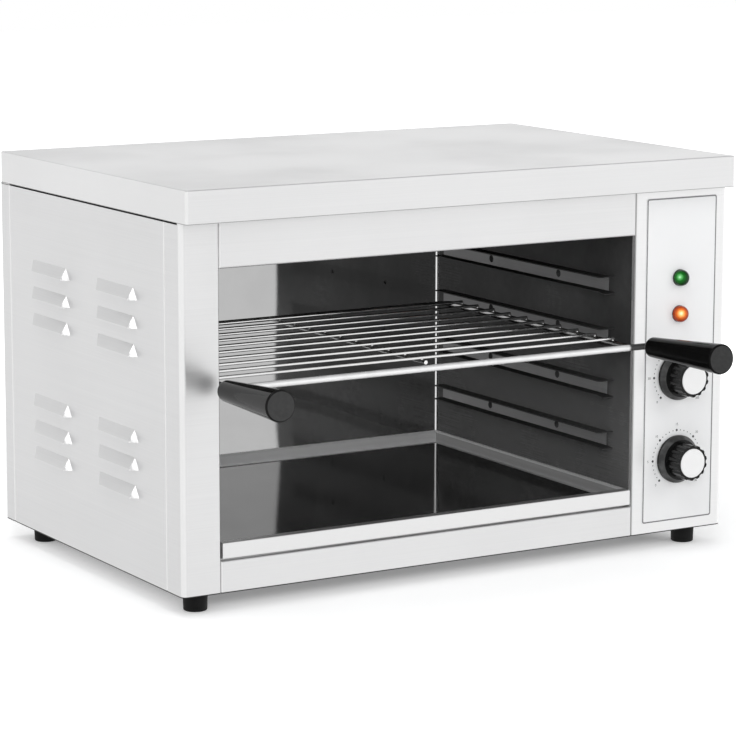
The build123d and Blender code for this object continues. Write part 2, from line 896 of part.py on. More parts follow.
# Drip tray: a shallow pan with round bends, hems turned into it at the rim and a folded front lip
x_tray_left = x_open_left + tray_side_gap
x_tray_right = x_open_right - tray_side_gap
y_tray_back = y_chamber_back - tray_back_gap
z_tray = z_floor + tray_rest_gap
z_tray_top = z_tray + tray_height
with BuildPart() as tray_hollow:
    block(
        x_tray_left + tray_sheet,
        x_tray_right - tray_sheet,
        y_front + tray_lip_depth,
        y_tray_back - tray_sheet,
        z_tray + tray_sheet,
        z_tray_top - tray_hem,
    )
    fillet(tray_hollow.edges().group_by(Axis.Z)[0], tray_bend)
with BuildPart() as drip_tray:
    block(x_tray_left, x_tray_right, y_front + tray_lip_depth - tray_sheet, y_tray_back, z_tray, z_tray_top)
    fillet(drip_tray.edges().group_by(Axis.Z)[0].sort_by(Axis.Y)[1:], tray_bend + tray_sheet)
    block(x_tray_left, x_tray_right, y_front, y_front + tray_lip_depth, z_tray, z_tray_top)
    fillet(drip_tray.edges().filter_by(Axis.X).sort_by(Axis.Y)[:2], tray_lip_round)
    add(tray_hollow.part, mode=Mode.SUBTRACT)
    block(
        x_tray_left + 2 * tray_sheet,
        x_tray_right - 2 * tray_sheet,
        y_front + tray_lip_depth,
        y_tray_back - 2 * tray_sheet,
        z_tray_top - tray_hem,
        z_tray_top,
        mode=Mode.SUBTRACT,
    )
    block(
        x_tray_left + tray_sheet,
        x_tray_right - tray_sheet,
        y_front + tray_sheet,
        y_front + tray_lip_depth - tray_sheet,
        z_tray,
        z_tray_top - tray_sheet,
        mode=Mode.SUBTRACT,
    )
save("drip_tray", drip_tray)


# Switch bodies behind the panel, each with a bush through the panel for its shaft
y_body = y_front + sheet
y_bush = y_label - nut_height - bush_end
y_shaft_end = y_body + shaft_inside

with BuildPart() as timer_body:
    block(
        x_panel - timer_width / 2,
        x_panel + timer_width / 2,
        y_body,
        y_body + timer_depth,
        z_lower_knob - timer_width / 2,
        z_lower_knob + timer_width / 2,
    )
    fillet(timer_body.edges().filter_by(Axis.Y), body_edge)
    rod_y(x_panel, z_lower_knob, y_bush, y_body, bush_radius)
    rod_y(x_panel, z_lower_knob, y_bush, y_shaft_end, shaft_radius + running_gap, mode=Mode.SUBTRACT)
save("timer_body", timer_body)

with BuildPart() as thermostat_body:
    rod_y(x_panel, z_upper_knob, y_body, y_body + thermostat_depth, thermostat_radius)
    fillet(thermostat_body.edges().sort_by(Axis.Y)[-1], body_edge)
    rod_y(x_panel, z_upper_knob, y_bush, y_body, bush_radius)
    rod_y(x_panel, z_upper_knob, y_bush, y_shaft_end, shaft_radius + running_gap, mode=Mode.SUBTRACT)
save("thermostat_body", thermostat_body)

with BuildPart() as control_nuts:
    for knob_z in (z_upper_knob, z_lower_knob):
        with BuildSketch(front_plane(x_panel, y_label, knob_z)):
            RegularPolygon(nut_across_flats / 2, 6, major_radius=False)
            Circle(bush_radius + close_gap, mode=Mode.SUBTRACT)
        extrude(amount=nut_height)
save("control_nuts", control_nuts)

# Knobs: a conical skirt, a fluted grip, a face cap, and the flatted shaft that turns with them
y_knob = y_label - knob_gap
knob_bore_depth = knob_hollow_depth + shaft_engagement
for knob_name, knob_z in (("thermostat", z_upper_knob), ("timer", z_lower_knob)):
    knob_plane = front_plane(x_panel, y_knob, knob_z)
    with BuildPart() as knob:
        with BuildSketch(knob_plane):
            Circle(knob_skirt_radius)
        extrude(amount=knob_rim)
        with BuildSketch(knob_plane.offset(knob_rim)):
            Circle(knob_skirt_radius)
        with BuildSketch(knob_plane.offset(knob_skirt_height)):
            Circle(knob_shoulder_radius)
        loft()
        with BuildSketch(knob_plane.offset(knob_skirt_height)):
            Circle(knob_grip_radius)
            with PolarLocations(knob_grip_radius + knob_flute_radius - knob_flute_bite, knob_flutes):
                Circle(knob_flute_radius, mode=Mode.SUBTRACT)
        extrude(amount=knob_depth - knob_skirt_height)
        with BuildSketch(knob_plane.offset(knob_depth)):
            Circle(cap_radius + close_gap)
        extrude(amount=-cap_recess, mode=Mode.SUBTRACT)
        with BuildSketch(knob_plane):
            Circle(knob_hollow_radius)
        extrude(amount=knob_hollow_depth, mode=Mode.SUBTRACT)
        with BuildSketch(knob_plane.offset(knob_hollow_depth)):
            Circle(shaft_radius + close_gap)
        extrude(amount=shaft_engagement, mode=Mode.SUBTRACT)
    save(f"{knob_name}_knob", knob)

    with BuildPart() as knob_cap:
        with BuildSketch(knob_plane.offset(knob_depth - cap_recess)):
            Circle(cap_radius)
        extrude(amount=cap_height)
        fillet(knob_cap.edges().sort_by(Axis.Y)[0], cap_height / 4)
    save(f"{knob_name}_knob_cap", knob_cap)

    with BuildPart() as shaft:
        rod_y(x_panel, knob_z, y_knob - knob_bore_depth, y_shaft_end - knob_gap, shaft_radius)
        block(
            x_panel - shaft_radius,
            x_panel + shaft_radius,
            y_knob - knob_bore_depth,
            y_knob - knob_hollow_depth,
            knob_z + shaft_radius - shaft_flat,
            knob_z + shaft_radius,
            mode=Mode.SUBTRACT,
        )
    save(f"{knob_name}_shaft", shaft)

# Lamps: a bezelled body through the panel, with a domed lens seated on its front
for lamp_name, lamp_z in (("green_lamp", z_green), ("amber_lamp", z_amber)):
    lamp_plane = front_plane(x_panel, y_label, lamp_z)
    with BuildPart() as lamp_body:
        with BuildSketch(lamp_plane):
            Circle(bezel_radius)
        extrude(amount=bezel_height)
        fillet(lamp_body.edges().sort_by(Axis.Y)[0], bezel_height / 3)
        rod_y(x_panel, lamp_z, y_label, y_body, barrel_radius)
        rod_y(x_panel, lamp_z, y_body, y_body + lamp_tail_step, lamp_tail_radius)
        rod_y(x_panel, lamp_z, y_body + lamp_tail_step, y_body + barrel_length, barrel_radius)
        with BuildSketch(lamp_plane.offset(bezel_height)):
            Circle(barrel_radius / 2 + close_gap)
        extrude(amount=-lens_stem, mode=Mode.SUBTRACT)
    save(f"{lamp_name}_body", lamp_body)

    with BuildPart() as lens:
        lens_seat = lamp_plane.offset(bezel_height)
        dome_radius = (lens_radius**2 + lens_rise**2) / (2 * lens_rise)
        with BuildSketch(Plane(origin=lens_seat.origin, x_dir=(1, 0, 0), z_dir=(0, 0, -1))):
            with BuildLine():
                Line((0, 0), (lens_radius, 0))
                Line((lens_radius, 0), (lens_radius, lens_edge))
                RadiusArc((lens_radius, lens_edge), (0, lens_edge + lens_rise), -dome_radius)
                Line((0, lens_edge + lens_rise), (0, 0))
            make_face()
        revolve(axis=Axis(lens_seat.origin, (0, -1, 0)))
        with BuildSketch(lens_seat):
            Circle(barrel_radius / 2)
        extrude(amount=-lens_stem)
    save(f"{lamp_name}_lens", lens)

# Heating elements: hairpin tubes under the ceiling, with pins in the control compartment
x_element_left = x_open_left + element_left_space
x_element_right = x_open_right + sheet + element_stub
for element_name, (leg_front, leg_rear) in element_legs.items():
    bend = (leg_rear - leg_front) / 2
    with BuildPart() as element:
        with BuildLine(Plane.XY.offset(z_element)) as element_path:
            Line((x_element_right, leg_front), (x_element_left + bend, leg_front))
            ThreePointArc(
                (x_element_left + bend, leg_front),
                (x_element_left, leg_front + bend),
                (x_element_left + bend, leg_rear),
            )
            Line((x_element_left + bend, leg_rear), (x_element_right, leg_rear))
        with BuildSketch(Plane(origin=(x_element_right, leg_front, z_element), z_dir=(-1, 0, 0))):
            Circle(element_radius)
        sweep(path=element_path.line)
        for leg in (leg_front, leg_rear):
            rod_x(leg, z_element, x_element_right, x_element_right + element_pin_length, element_pin_radius)
    save(element_name, element)

# Hangers: angle plates under the ceiling that the element legs pass through
with BuildPart() as element_hangers:
    for leg_front, leg_rear in element_legs.values():
        for hanger_x in (x_open_left + hanger_left_space, x_open_right - hanger_right_space):
            block(
                hanger_x,
                hanger_x + hanger_thickness,
                leg_front - hanger_margin,
                leg_rear + hanger_margin,
                z_element - hanger_margin,
                z_ceiling,
            )
            block(
                hanger_x,
                hanger_x + hanger_foot,
                leg_front - hanger_margin,
                leg_rear + hanger_margin,
                z_ceiling - hanger_thickness,
                z_ceiling,
            )
            for leg in (leg_front, leg_rear):
                rod_x(
                    leg,
                    z_element,
                    hanger_x,
                    hanger_x + hanger_thickness,
                    element_radius + close_gap,
                    mode=Mode.SUBTRACT,
                )
save("element_hangers", element_hangers)

# Ceramic bushes that carry the legs through the right wall
with BuildPart() as element_bushes:
    for leg in all_legs:
        rod_x(leg, z_element, x_open_right - wall_bush_flange_height, x_open_right, wall_bush_flange)
        rod_x(leg, z_element, x_open_right, x_open_right + sheet + wall_bush_tail, wall_bush_radius)
        rod_x(
            leg,
            z_element,
            x_open_right - wall_bush_flange_height,
            x_open_right + sheet + wall_bush_tail,
            element_radius + close_gap,
            mode=Mode.SUBTRACT,
        )
save("element_bushes", element_bushes)

# Thermostat bulb under the ceiling, with its capillary through the wall to the thermostat
y_bulb_front = y_front + bulb_front
x_capillary = x_open_right + capillary_wall_space
with BuildPart() as thermostat_bulb:
    rod_y(x_bulb, z_bulb, y_bulb_front, y_bulb_front + bulb_length, bulb_radius)
    with BuildLine() as capillary_path:
        FilletPolyline(
            (x_bulb, y_bulb_front, z_bulb),
            (x_bulb, y_capillary, z_bulb),
            (x_capillary, y_capillary, z_bulb),
            (x_capillary, y_capillary, z_upper_knob),
            (x_capillary, y_body + thermostat_depth, z_upper_knob),
            radius=[bulb_front - capillary_exit - capillary_radius, capillary_bend, capillary_bend],
        )
    with BuildSketch(Plane(origin=(x_bulb, y_bulb_front, z_bulb), z_dir=(0, -1, 0))):
        Circle(capillary_radius)
    sweep(path=capillary_path.line)
save("thermostat_bulb", thermostat_bulb)

with BuildPart() as bulb_clips:
    for clip_y in (y_bulb_front + clip_inset, y_bulb_front + bulb_length - clip_inset):
        block(
            x_bulb - clip_width / 2,
            x_bulb + clip_width / 2,
            clip_y - clip_length / 2,
            clip_y + clip_length / 2,
            z_bulb - clip_width / 2,
            z_ceiling,
        )
        rod_y(
            x_bulb,
            z_bulb,
            clip_y - clip_length / 2,
            clip_y + clip_length / 2,
            bulb_radius + close_gap,
            mode=Mode.SUBTRACT,
        )
save("bulb_clips", bulb_clips)

# Terminal block on the back panel, with a screw well for each way
z_terminal = z_bottom + terminal_low
y_terminal = y_back - sheet - terminal_depth
terminal_pitch = terminal_height / terminal_ways
with BuildPart() as terminal_block:
    block(
        x_panel - terminal_width / 2,
        x_panel + terminal_width / 2,
        y_terminal,
        y_back - sheet,
        z_terminal,
        z_terminal + terminal_height,
    )
    for way in range(terminal_ways):
        for side in (-1, 1):
            rod_y(
                x_panel + side * terminal_width / 4,
                z_terminal + (way + 0.5) * terminal_pitch,
                y_terminal,
                y_terminal + terminal_well_depth,
                terminal_well_radius,
                mode=Mode.SUBTRACT,
            )
save("terminal_block", terminal_block)

# Cable gland through the back panel, locked by a nut inside
with BuildPart() as cable_gland:
    rod_y(x_panel, z_gland, y_back - sheet - gland_tail, y_back, gland_thread_radius)
    with BuildSketch(front_plane(x_panel, y_back, z_gland)):
        RegularPolygon(gland_hex_radius, 6)
    extrude(amount=-gland_hex_height)
    with BuildSketch(front_plane(x_panel, y_back + gland_hex_height, z_gland)):
        Circle(gland_dome_radius)
    extrude(amount=gland_hex_height - gland_reach)
    fillet(cable_gland.edges().group_by(Axis.Y)[-1], body_edge)
    rod_y(
        x_panel,
        z_gland,
        y_back - sheet - gland_tail,
        y_back + gland_reach,
        gland_bore_radius,
        mode=Mode.SUBTRACT,
    )
save("cable_gland", cable_gland)

with BuildPart() as cable_gland_nut:
    with BuildSketch(front_plane(x_panel, y_back - sheet, z_gland)):
        RegularPolygon(gland_hex_radius, 6)
        Circle(gland_thread_radius + close_gap, mode=Mode.SUBTRACT)
    extrude(amount=gland_nut_height)
save("cable_gland_nut", cable_gland_nut)

# Inner wires: each run is a tube with rounded corners between two terminals
x_pin = x_element_right + element_pin_length
y_timer_back = y_body + timer_depth
y_lamp_back = y_body + barrel_length
front_legs = element_legs["heating_element_front"]
rear_legs = element_legs["heating_element_rear"]
x_riser = x_panel + thermostat_radius / 2
z_riser = z_upper_knob + thermostat_radius / 2
x_link = x_pin + 2 * wire_bend
z_terminal_top = z_terminal + terminal_height
y_terminal_mid = y_terminal + terminal_depth / 2
wire_routes = [
    [
        (x_panel, y_timer_back, z_lower_knob),
        (x_panel, y_timer_back + 4 * wire_bend, z_lower_knob),
        (x_panel, y_terminal - 4 * wire_bend, z_terminal + terminal_pitch),
        (x_panel, y_terminal, z_terminal + terminal_pitch),
    ],
    [
        (x_pin, front_legs[0], z_element),
        (x_riser, front_legs[0], z_element),
        (x_riser, front_legs[0], z_riser),
        (x_riser, y_body + thermostat_depth, z_riser),
    ],
    [
        (x_pin, front_legs[1], z_element),
        (x_link, front_legs[1], z_element),
        (x_link, rear_legs[0], z_element),
        (x_pin, rear_legs[0], z_element),
    ],
    [
        (x_pin, rear_legs[1], z_element),
        (x_panel, rear_legs[1], z_element),
        (x_panel, rear_legs[1], z_terminal_top + 4 * wire_bend),
        (x_panel, y_terminal_mid, z_terminal_top + 2 * wire_bend),
        (x_panel, y_terminal_mid, z_terminal_top),
    ],
    [
        (x_panel, y_lamp_back, z_green),
        (x_panel, y_lamp_back + 2 * wire_bend, z_green),
        (x_panel, y_lamp_back + 2 * wire_bend, z_amber),
        (x_panel, y_lamp_back, z_amber),
    ],
]
with BuildPart() as inner_wires:
    for route in wire_routes:
        start = Vector(*route[0])
        with BuildLine() as wire_path:
            FilletPolyline(*route, radius=wire_bend)
        with BuildSketch(Plane(origin=start, z_dir=Vector(*route[1]) - start)):
            Circle(wire_radius)
        sweep(path=wire_path.line)
save("inner_wires", inner_wires)
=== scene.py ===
"""Looks, light and camera for a countertop salamander grill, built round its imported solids."""

import json
import math

import bmesh
import bpy
from mathutils import Matrix, Vector


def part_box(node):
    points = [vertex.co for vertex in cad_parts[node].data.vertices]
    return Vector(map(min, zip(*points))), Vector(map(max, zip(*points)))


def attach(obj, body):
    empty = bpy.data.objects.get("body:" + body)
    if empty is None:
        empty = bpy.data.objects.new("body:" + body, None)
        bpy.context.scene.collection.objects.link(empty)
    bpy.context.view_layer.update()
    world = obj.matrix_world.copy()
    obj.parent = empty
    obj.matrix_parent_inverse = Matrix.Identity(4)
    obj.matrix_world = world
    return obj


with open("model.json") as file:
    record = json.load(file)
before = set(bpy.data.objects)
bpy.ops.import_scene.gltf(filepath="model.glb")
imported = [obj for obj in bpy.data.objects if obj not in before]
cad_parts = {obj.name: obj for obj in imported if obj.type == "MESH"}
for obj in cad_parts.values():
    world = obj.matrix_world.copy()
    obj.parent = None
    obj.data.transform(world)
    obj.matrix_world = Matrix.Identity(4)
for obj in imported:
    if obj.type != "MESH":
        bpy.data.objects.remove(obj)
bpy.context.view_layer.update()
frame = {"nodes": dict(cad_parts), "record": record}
nodes = frame["nodes"]
scene = bpy.context.scene

MM = 0.001
X, Y, Z = range(3)
NOISE_RANGE = (0.3, 0.7)  # where most values of a noise texture lie
FINE_DEPTH = 0.1 * MM  # heights of surface texture
PLASTIC_DEPTH = 0.2 * MM
MOULDED_DEPTH = 0.3 * MM
TRAY_WAVE_DEPTH = 1.5 * MM
SHEET_WAVE_DEPTH = 6.0 * MM


def tint(red, green, blue):
    return (red, green, blue, 1.0)


def grey(value):
    return tint(value, value, value)


# Node tree helpers
class Tree:
    """A material's or world's node tree, with short calls for the nodes used here."""

    def __init__(self, owner):
        owner.use_nodes = True
        self.tree = owner.node_tree
        self.tree.nodes.clear()

    def add(self, kind, **values):
        node = self.tree.nodes.new(kind)
        for key, value in values.items():
            setattr(node, key, value)
        return node

    def link(self, source, target):
        self.tree.links.new(source, target)

    def feed(self, socket, value):
        if isinstance(value, bpy.types.NodeSocket):
            self.link(value, socket)
        else:
            socket.default_value = value

    def math(self, operation, a, b=None, c=None):
        node = self.add("ShaderNodeMath", operation=operation)
        for socket, value in zip(node.inputs, (a, b, c)):
            if value is not None:
                self.feed(socket, value)
        return node.outputs[0]

    def total(self, a, b):
        return self.math("ADD", a, b)

    def less(self, a, b):
        return self.math("SUBTRACT", a, b)

    def product(self, a, b):
        return self.math("MULTIPLY", a, b)

    def size(self, a):
        return self.math("ABSOLUTE", a)

    def mix(self, factor, a, b):
        node = self.add("ShaderNodeMix", data_type="RGBA")
        self.feed(node.inputs[0], factor)
        self.feed(node.inputs[6], a)
        self.feed(node.inputs[7], b)
        return node.outputs[2]

    def blend(self, factor, a, b):
        node = self.add("ShaderNodeMix", data_type="FLOAT")
        self.feed(node.inputs[0], factor)
        self.feed(node.inputs[2], a)
        self.feed(node.inputs[3], b)
        return node.outputs[0]

    def span(self, value, low, high, to_low=0.0, to_high=1.0, smooth=True):
        kind = "SMOOTHSTEP" if smooth else "LINEAR"
        node = self.add("ShaderNodeMapRange", interpolation_type=kind)
        for socket, number in zip(node.inputs, (value, low, high, to_low, to_high)):
            self.feed(socket, number)
        return node.outputs[0]

    def place(self):
        return self.add("ShaderNodeTexCoord").outputs["Object"]

    def parts(self, vector):
        node = self.add("ShaderNodeSeparateXYZ")
        self.link(vector, node.inputs[0])
        return node.outputs

    def place_parts(self):
        """The surface's place in the object's own frame."""
        return self.parts(self.place())

    def normal_parts(self):
        """The surface's direction in the object's own frame."""
        return self.parts(self.add("ShaderNodeTexCoord").outputs["Normal"])

    def scaled(self, vector, scale):
        node = self.add("ShaderNodeVectorMath", operation="MULTIPLY")
        self.link(vector, node.inputs[0])
        node.inputs[1].default_value = scale
        return node.outputs[0]

    def distance(self, point, axes=(1.0, 1.0, 1.0)):
        """How far the surface is from a point, along the axes that are kept."""
        offset = self.add("ShaderNodeVectorMath", operation="SUBTRACT")
        self.link(self.place(), offset.inputs[0])
        offset.inputs[1].default_value = point
        length = self.add("ShaderNodeVectorMath", operation="LENGTH")
        self.link(self.scaled(offset.outputs[0], axes), length.inputs[0])
        return length.outputs["Value"]

    def noise(self, scale, detail=3.0, roughness=0.5, vector=None):
        node = self.add("ShaderNodeTexNoise")
        self.link(self.place() if vector is None else vector, node.inputs["Vector"])
        node.inputs["Scale"].default_value = scale
        node.inputs["Detail"].default_value = detail
        node.inputs["Roughness"].default_value = roughness
        return node.outputs["Fac"]

    def bump(self, height, strength, distance, normal=None):
        node = self.add("ShaderNodeBump")
        self.link(height, node.inputs["Height"])
        node.inputs["Strength"].default_value = strength
        node.inputs["Distance"].default_value = distance
        if normal is not None:
            self.link(normal, node.inputs["Normal"])
        return node.outputs[0]

    def ramp(self, value, stops):
        node = self.add("ShaderNodeValToRGB")
        elements = node.color_ramp.elements
        while len(elements) < len(stops):
            elements.new(1.0)
        for element, (position, colour) in zip(elements, stops):
            element.position = position
            element.color = colour
        self.link(value, node.inputs[0])
        return node.outputs[0]


class Surface(Tree):
    """A material with one Principled shader, its constant sockets set by name."""

    def __init__(self, name, **sockets):
        self.material = bpy.data.materials.new(name)
        super().__init__(self.material)
        self.shader = self.add("ShaderNodeBsdfPrincipled")
        output = self.add("ShaderNodeOutputMaterial")
        self.link(self.shader.outputs[0], output.inputs[0])
        for socket, value in sockets.items():
            self.shader.inputs[socket.replace("_", " ")].default_value = value

    def give(self, socket, value):
        self.link(value, self.shader.inputs[socket])

    def grain(self, along=6.0, across=1400.0):
        """Brushing lines along the sheet: front to back on the sides, left to right elsewhere."""
        place = self.place()
        side = self.math("GREATER_THAN", self.size(self.normal_parts()[X]), 0.7)
        across_x = self.scaled(place, (along, across, across))
        across_y = self.scaled(place, (across, along, across))
        return self.noise(1.0, 2.0, 0.6, vector=self.mix(side, across_x, across_y))


# Brushed sheet
def tone_flanks(look, colour, tone):
    """Painted light: another tone on the faces that are turned to the sides."""
    share = 0.7
    sideways = look.span(look.size(look.normal_parts()[X]), 0.7, 0.95, 0.0, share)
    return look.mix(sideways, colour, grey(tone))


def tone_folds(look, colour, tone):
    """Painted highlight on the outer upright folds, and painted shade, a dark line, along the inner
    ones.
    """
    inner_fold_shade = 0.42
    normal = look.normal_parts()
    turned = look.math("MINIMUM", look.size(normal[X]), look.size(normal[Y]))
    upright = look.span(look.size(normal[Z]), 0.4, 0.2)
    outward = look.math("GREATER_THAN", look.product(normal[X], look.place_parts()[X]), 0.0)
    outer = look.product(look.span(turned, 0.12, 0.40), outward)
    inner = look.product(look.span(turned, 0.30, 0.60), look.less(1.0, outward))
    colour = look.mix(look.product(outer, upright), colour, grey(tone))
    return look.mix(look.product(inner, upright), colour, grey(inner_fold_shade))


def tone_edge(look, colour, level, tone):
    """Painted shadow: a dark line under a level."""
    fade = 0.3 * MM
    return look.mix(look.span(look.place_parts()[Z], level, level - fade), colour, grey(tone))


def tone_web(look, colour, tone, middle_x, reach):
    """Painted shade: a dark tone on all but the faces that lie against a wall, some way from the
    middle.
    """
    offset = look.size(look.less(look.place_parts()[X], middle_x))
    sideways = look.span(look.size(look.normal_parts()[X]), 0.4, 0.8)
    face = look.product(sideways, look.math("GREATER_THAN", offset, reach))
    return look.mix(face, grey(tone), colour)


def brushed(name, low, high, rough, spread, metallic=1.0, scale=1400.0, tones=()):
    """Brushed sheet: fine lines in colour, roughness and height, and a faint handled haze.

    tones: calls that give some of its faces another tone, each with its values.
    """
    haze, line_height = 0.05, 0.10
    fine_share, broad_share = 0.65, 0.35
    look = Surface(name, Metallic=metallic)
    fine = look.grain(across=scale)
    broad = look.grain(along=2.0, across=scale / 7)
    lines = look.total(look.product(fine, fine_share), look.product(broad, broad_share))
    colour = look.mix(look.span(lines, *NOISE_RANGE, smooth=False), low, high)
    for tone_faces, *values in tones:
        colour = tone_faces(look, colour, *values)
    look.give("Base Color", colour)
    satin = look.span(lines, *NOISE_RANGE, rough - spread, rough + spread, smooth=False)
    handled = look.span(look.noise(9.0, 4.0, 0.55), 0.35, 0.75, -haze, haze)
    look.give("Roughness", look.total(satin, handled))
    look.give("Normal", look.bump(lines, line_height, FINE_DEPTH))
    return look.material


casing_low, casing_high = tint(0.795, 0.795, 0.798), tint(0.835, 0.835, 0.837)
# Outer folds painted bright, a painted highlight; inner folds a dark line, painted shade
fold_highlight_and_shade = (tone_folds, 0.98)
# Painted shadow lines: along the casing's bottom edge and along the cover's lower edge
casing_shadow_line = (tone_edge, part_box("left_side_panel")[0].z + 0.9 * MM, 0.03)
cover_shadow_line = (tone_edge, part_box("top_cover")[0].z + 0.6 * MM, 0.35)
casing_steel = brushed(
    "casing_steel", casing_low, casing_high, 0.37, 0.03, metallic=0.85,
    tones=(fold_highlight_and_shade, casing_shadow_line),
)
# The cover's side faces get a paler tone, painted light
cover_steel = brushed(
    "cover_steel", casing_low, casing_high, 0.37, 0.03, metallic=0.85,
    tones=((tone_flanks, 0.92), fold_highlight_and_shade, cover_shadow_line),
)
# The control panel's steel is a paler copy of the casing's, painted light: the front brightens
# towards the right
panel_steel_lit = brushed(
    "panel_steel_lit", tint(0.87, 0.87, 0.873), tint(0.91, 0.91, 0.912), 0.35, 0.03, metallic=0.85,
    tones=(fold_highlight_and_shade, casing_shadow_line),
)
pan_steel = brushed(
    "pan_steel", tint(0.55, 0.55, 0.555), tint(0.64, 0.64, 0.642), 0.42, 0.05
)
runner_left, runner_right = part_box("left_runner_1")[0].x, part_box("right_runner_1")[1].x
runner_middle = (runner_left + runner_right) / 2
runner_reach = (runner_right - runner_left) / 2 - 2.5 * MM
# The runners' lips and ends are painted dark, painted shade; only the webs keep the brushed tones
runner_steel = brushed(
    "runner_steel", tint(0.44, 0.44, 0.445), tint(0.54, 0.54, 0.542), 0.5, 0.05, metallic=0.7,
    scale=900.0, tones=((tone_web, 0.10, runner_middle, runner_reach),),
)


# Bright sheet of the chamber and the tray
def mirror_sheet(name, low, high, rough, wave, corner=None, foot=None, metallic=1.0, shine=0.5):
    """Bright-rolled sheet: nearly a mirror, wavy, with a faint heat bloom and fine scratches.

    corner: tone of the bends at its sides, a painted highlight; foot: tone towards the bottom.
    """
    foot_fade_top, foot_fade_bottom = 0.17, 0.07
    look = Surface(name, Metallic=metallic, Specular_IOR_Level=shine)
    bloom = look.noise(7.0, 5.0, 0.6)
    colour = look.mix(look.span(bloom, *NOISE_RANGE), grey(low), grey(high))
    if foot is not None:
        lower = look.span(look.place_parts()[Z], foot_fade_top, foot_fade_bottom)
        colour = look.mix(lower, colour, grey(foot))
    if corner is not None:
        bent = look.span(look.size(look.normal_parts()[X]), 0.1, 0.3)
        colour = look.mix(bent, colour, grey(corner))
    look.give("Base Color", colour)
    scratches = look.grain(along=10.0, across=2400.0)
    bloomed = look.span(bloom, 0.3, 0.75, rough * 0.8, rough * 1.4)
    look.give("Roughness", look.total(bloomed, look.product(scratches, rough * 0.4)))
    waves = look.bump(look.noise(5.0, 1.0), wave, SHEET_WAVE_DEPTH)
    look.give("Normal", look.bump(scratches, 0.02, FINE_DEPTH, waves))
    return look.material


def tray_sheet():
    """Tray: a dark, mirror-bright bottom, satin walls and a brighter rim and lip, a painted
    highlight.

    Its rear wall is paler than its side walls, painted light, and polished at its left end.
    """
    bottom_sheet, rim_height, lip_depth = 1.2 * MM, 2.0 * MM, 7.2 * MM
    lip_metal, wall_metal, polished, satin_loss = 0.92, 0.45, 0.22, -0.40
    low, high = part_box("drip_tray")
    polish_end = low.x + 0.26 * (high.x - low.x)
    satin_start = low.x + 0.43 * (high.x - low.x)

    look = Surface("tray_steel")
    place, normal = look.place_parts(), look.normal_parts()
    lowest = look.math("LESS_THAN", place[Z], low.z + bottom_sheet)
    bottom = look.product(lowest, look.span(normal[Z], 0.95, 0.99))
    rim = look.math("GREATER_THAN", place[Z], high.z - rim_height)
    lip = look.math("LESS_THAN", place[Y], low.y + lip_depth)
    rear = look.span(normal[Y], -0.5, -0.9)
    bloom = look.noise(11.0, 5.0, 0.6)
    fine = look.grain(along=10.0, across=1800.0)

    # The rear wall's pale tone is painted light, the rim's and lip's bright tone a painted
    # highlight
    tray_bottom_tone = look.mix(look.span(bloom, *NOISE_RANGE), grey(0.16), grey(0.21))
    side_tone = look.mix(fine, grey(0.48), grey(0.58))
    rear_painted_light = look.mix(fine, grey(0.92), grey(0.97))
    rim_painted_highlight = look.mix(fine, grey(0.84), grey(0.89))
    wall_tone = look.mix(rear, side_tone, rear_painted_light)
    satin = look.mix(look.math("MAXIMUM", rim, lip), wall_tone, rim_painted_highlight)
    look.give("Base Color", look.mix(bottom, satin, tray_bottom_tone))

    along = look.span(place[X], polish_end, satin_start, polished, satin_loss)
    walls = look.math("MULTIPLY_ADD", rear, along, wall_metal)
    bright = look.product(look.math("MAXIMUM", bottom, lip), lip_metal)
    look.give("Metallic", look.math("MAXIMUM", walls, bright))

    smooth = look.span(bloom, *NOISE_RANGE, 0.04, 0.07)
    brushed_level = look.span(fine, *NOISE_RANGE, 0.30, 0.40)
    look.give("Roughness", look.blend(bottom, brushed_level, smooth))
    waves = look.bump(look.noise(4.0, 1.0), 0.04, TRAY_WAVE_DEPTH)
    look.give("Normal", look.bump(fine, 0.03, FINE_DEPTH, waves))
    return look.material


# Wire, plastic, turned faces, film and lenses
def plated_wire(name, metallic, neck=None):
    """Bright plated wire. neck: where, to the right, it meets a grip and is painted dark, painted
    shade.
    """
    neck_from, neck_full, neck_shade_tone = 7 * MM, 4 * MM, 0.05
    look = Surface(name, Metallic=metallic)
    cloud = look.noise(60.0, 4.0)
    colour = look.mix(look.span(cloud, *NOISE_RANGE), grey(0.88), grey(0.96))
    if neck is not None:
        neck_shade = look.span(look.place_parts()[X], neck - neck_from, neck - neck_full)
        colour = look.mix(neck_shade, colour, grey(neck_shade_tone))
    look.give("Base Color", colour)
    look.give("Roughness", look.span(cloud, *NOISE_RANGE, 0.14, 0.24))
    look.give("Normal", look.bump(look.noise(900.0, 2.0), 0.04, FINE_DEPTH))
    return look.material


def grip_plastic(name, shine, rough):
    """Glossy moulded handle with a satin, greyer flat end."""
    end_dulling = 0.32
    look = Surface(name, Specular_IOR_Level=shine)
    flat_end = look.span(look.normal_parts()[Y], -0.985, -0.995)
    mottle = look.noise(350.0, 4.0)
    side_tone = look.mix(mottle, grey(0.003), grey(0.007))
    end_tone = look.mix(mottle, grey(0.030), grey(0.055))
    look.give("Base Color", look.mix(flat_end, side_tone, end_tone))
    side_rough = look.span(mottle, *NOISE_RANGE, rough * 0.75, rough * 1.25)
    look.give("Roughness", look.total(side_rough, look.product(flat_end, end_dulling)))
    look.give("Normal", look.bump(look.noise(1500.0), 0.03, PLASTIC_DEPTH))
    return look.material


